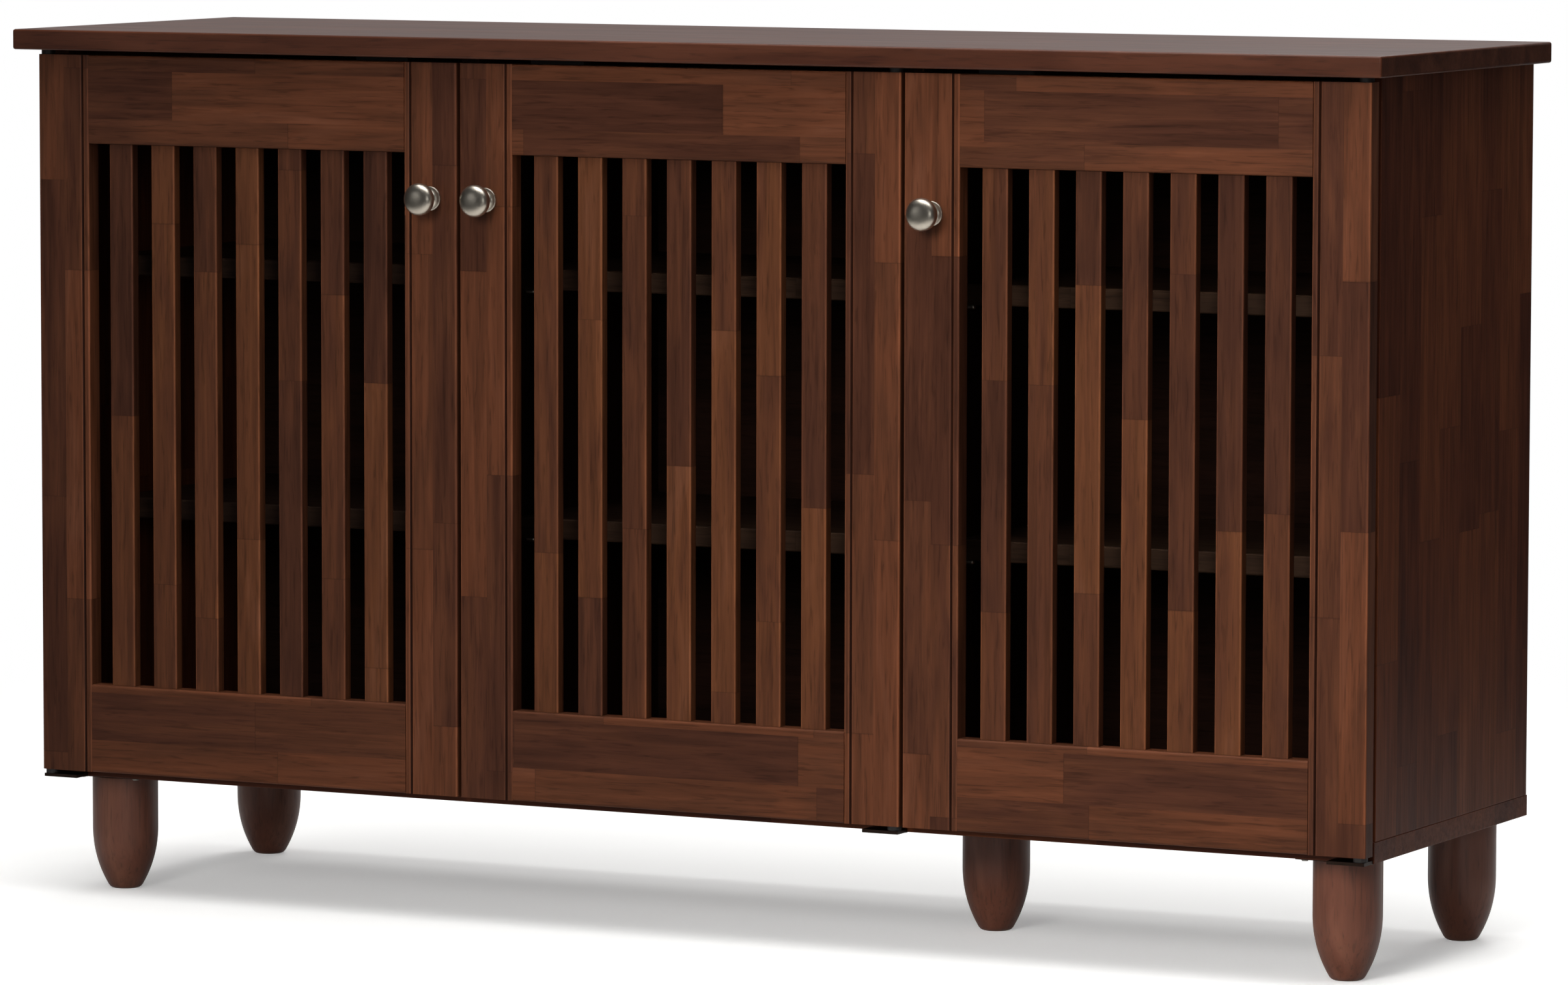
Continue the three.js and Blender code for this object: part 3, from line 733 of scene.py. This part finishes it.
def moulded_nylon(name, hex_colour):
    """Black nylon straight from the mould: a fine spark-eroded texture about 0.5 mm across."""
    material, tree, shader = start_material(name)
    place = add_node(tree, "ShaderNodeTexCoord")
    texture = add_node(
        tree, "ShaderNodeTexNoise",
        {"Vector": place.outputs["Object"], "Scale": 2000.0, "Detail": 2.0},
    ).outputs["Fac"]
    shade = add_node(tree, "ShaderNodeMapRange", {0: texture, 1: 0.3, 2: 0.7, 3: 0.8, 4: 1.25})
    colour = add_node(
        tree, "ShaderNodeVectorMath", {0: to_linear(hex_colour)[:3], "Scale": shade.outputs[0]},
        operation="SCALE",
    ).outputs[0]
    rough = add_node(tree, "ShaderNodeMapRange", {0: texture, 1: 0.3, 2: 0.7, 3: 0.5, 4: 0.65})
    bump = add_node(
        tree, "ShaderNodeBump", {"Height": texture, "Strength": 0.2, "Distance": 0.0001},
    ).outputs[0]
    tree.links.new(colour, shader.inputs["Base Color"])
    tree.links.new(rough.outputs[0], shader.inputs["Roughness"])
    tree.links.new(bump, shader.inputs["Normal"])
    shader.inputs["IOR"].default_value = 1.53
    return material


black_nylon = moulded_nylon("moulded_black_nylon", "1c1918")
board_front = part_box("bottom_board")[0].y
for door in ("left", "middle", "right"):
    for level in ("lower", "upper"):
        dress(f"pivot_bush_{level}_{door}", black_nylon)
        node = f"pivot_plate_{level}_{door}"
        dress(node, plate_steel)
        low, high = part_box(node)
        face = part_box("top_board")[0].z if level == "upper" else low.z
        for number, side in enumerate((-1, 1), 1):
            spot = (
                (low.x + high.x) / 2 + side * pivot_screw_spacing / 2,
                (board_front + high.y) / 2,
                face,
            )
            shape = screw_head(spot, (0, 0, -1), pivot_screw_radius, pivot_screw_rise)
            add_piece(f"screw_{node}_{number}", shape, screw_steel, "root", "steel_plate")

# ---- Magnetic catches -------------------------------------------------------------------
# A black nylon housing screwed under the top board behind each door, with a strike plate of
# zinc-plated steel on the door.
for door in ("left", "middle", "right"):
    dress(f"catch_{door}", black_nylon)
    dress(f"strike_{door}", screw_steel)

# ---- Studio -----------------------------------------------------------------------------
# A pale floor that fades out into a white surround, one soft light in front that shiny
# surfaces don't mirror, a weak card at each side, a large light overhead and one behind.


def floor_material():
    """Matt white paper that fades out towards its rim, with a faint unevenness."""
    material, tree, shader = start_material("matt_white_paper")
    place = add_node(tree, "ShaderNodeTexCoord").outputs["Object"]
    cloud = add_node(tree, "ShaderNodeTexNoise", {"Vector": place, "Scale": 3.0}).outputs["Fac"]
    shade = add_node(tree, "ShaderNodeValToRGB", {0: cloud})
    set_ramp(shade, [(0.0, "fbfaf8"), (1.0, "fefdfb")])
    tree.links.new(shade.outputs[0], shader.inputs["Base Color"])
    shader.inputs["Roughness"].default_value = 0.9
    shader.inputs["Specular IOR Level"].default_value = 0.1
    shader.inputs["Emission Color"].default_value = (1, 1, 1, 1)

    # The paper glows a little, which keeps the shadows pale. It is bright to look at, half
    # as bright in reflections and dark to other light, so that it doesn't wash out the wood.
    bounce = add_node(tree, "ShaderNodeBsdfDiffuse", {"Color": (0.22, 0.21, 0.2, 1)})
    path = add_node(tree, "ShaderNodeLightPath")
    glow = add_node(
        tree, "ShaderNodeMath", {0: path.outputs["Is Camera Ray"], 1: 0.16, 2: 0.14},
        operation="MULTIPLY_ADD",
    ).outputs[0]
    tree.links.new(glow, shader.inputs["Emission Strength"])
    bright = add_node(
        tree, "ShaderNodeMath",
        {0: path.outputs["Is Glossy Ray"], 1: 0.55, 2: path.outputs["Is Camera Ray"]},
        operation="MULTIPLY_ADD",
    ).outputs[0]
    paper = add_node(
        tree, "ShaderNodeMixShader", {0: bright, 1: bounce.outputs[0], 2: shader.outputs["BSDF"]},
    )
    distance = add_node(
        tree, "ShaderNodeVectorMath", {0: place}, operation="LENGTH",
    ).outputs["Value"]
    fade = add_node(
        tree, "ShaderNodeMapRange", {0: distance, 1: 0.7, 2: 1.8, 3: 0.0, 4: 1.0},
        interpolation_type="SMOOTHSTEP",
    ).outputs[0]
    clear = add_node(tree, "ShaderNodeBsdfTransparent")
    mixed = add_node(
        tree, "ShaderNodeMixShader",
        {0: fade, 1: paper.outputs[0], 2: clear.outputs[0]},
    )
    output = next(node for node in tree.nodes if node.type == "OUTPUT_MATERIAL")
    tree.links.new(mixed.outputs[0], output.inputs["Surface"])
    return material


floor_radius = 3.0
shape = bmesh.new()
bmesh.ops.create_circle(shape, cap_ends=True, radius=floor_radius, segments=96)
mesh = bpy.data.meshes.new("floor")
shape.to_mesh(mesh)
shape.free()
mesh.materials.append(floor_material())
floor = bpy.data.objects.new("floor", mesh)
bpy.context.scene.collection.objects.link(floor)


def add_softbox(name, place, target, size, power, spread=180, mirrored=True):
    """A square soft light that the camera doesn't see, with its spread in degrees.

    mirrored says whether shiny surfaces show its reflection.
    """
    data = bpy.data.lights.new(name, "AREA")
    data.shape = "SQUARE"
    data.size = size
    data.energy = power
    data.spread = math.radians(spread)
    light = bpy.data.objects.new(name, data)
    towards = Vector(target) - Vector(place)
    light.matrix_world = (
        Matrix.Translation(place) @ towards.to_track_quat("-Z", "Y").to_matrix().to_4x4()
    )
    light.visible_camera = False
    light.visible_glossy = mirrored
    bpy.context.scene.collection.objects.link(light)


add_softbox(
    "front_softbox", (0.38, -2.95, 1.35), (0.85, 0.0, 0.3), 1.1, 11, spread=70, mirrored=False,
)
add_softbox("left_card", (-1.75, -3.2, 1.0), (0.0, -0.15, 0.5), 0.9, 2)
add_softbox("right_card", (1.9, -3.0, 0.75), (0.0, -0.15, 0.55), 0.6, 4)
add_softbox("overhead_softbox", (0.2, -0.45, 3.2), (0.0, 0.0, 0.0), 3.0, 92)
add_softbox("back_softbox", (0.0, 2.6, 3.4), (0.0, 0.0, 0.3), 1.5, 35)

# The surround is white to look at but dim in reflections, apart from the part behind the
# cabinet, which the lacquer on top mirrors.
world = bpy.data.worlds.new("white_surround")
world.use_nodes = True
tree = world.node_tree
tree.nodes.clear()
path = add_node(tree, "ShaderNodeLightPath")
direction = add_node(tree, "ShaderNodeTexCoord").outputs["Generated"]
towards_back = add_node(
    tree, "ShaderNodeVectorMath", {0: direction, 1: (-0.45, 0.89, 0.1)},
    operation="DOT_PRODUCT",
).outputs["Value"]
behind = add_node(
    tree, "ShaderNodeMapRange", {0: towards_back, 1: 0.75, 2: 0.97, 3: 0.012, 4: 0.44},
    interpolation_type="SMOOTHSTEP",
).outputs[0]
seen = add_node(tree, "ShaderNodeBackground", {"Color": (1, 1, 1, 1), "Strength": 1.0})
glossy = add_node(tree, "ShaderNodeBackground", {"Color": (1, 1, 1, 1), "Strength": behind})
ambient = add_node(tree, "ShaderNodeBackground", {"Color": (1, 1, 1, 1), "Strength": 0.25})
soft = add_node(
    tree, "ShaderNodeMixShader",
    {0: path.outputs["Is Glossy Ray"], 1: ambient.outputs[0], 2: glossy.outputs[0]},
)
final = add_node(
    tree, "ShaderNodeMixShader",
    {0: path.outputs["Is Camera Ray"], 1: soft.outputs[0], 2: seen.outputs[0]},
)
add_node(tree, "ShaderNodeOutputWorld", {"Surface": final.outputs[0]})
bpy.context.scene.world = world
bpy.context.scene.view_settings.view_transform = "Standard"

# A long lens looks from the front and right, a little higher than the top.
camera_data = bpy.data.cameras.new("camera")
camera_data.sensor_width = 36.0
camera_data.lens = 182.96
camera_data.clip_end = 100.0
camera = bpy.data.objects.new("camera", camera_data)
camera.matrix_world = (
    Matrix.Translation((2.7919, -5.5331, 0.9055))
    @ Matrix.Rotation(0.46499, 4, "Z")
    @ Matrix.Rotation(math.pi / 2 - 0.09194, 4, "X")
    @ Matrix.Rotation(0.00196, 4, "Z")
)
bpy.context.scene.collection.objects.link(camera)
bpy.context.scene.camera = camera
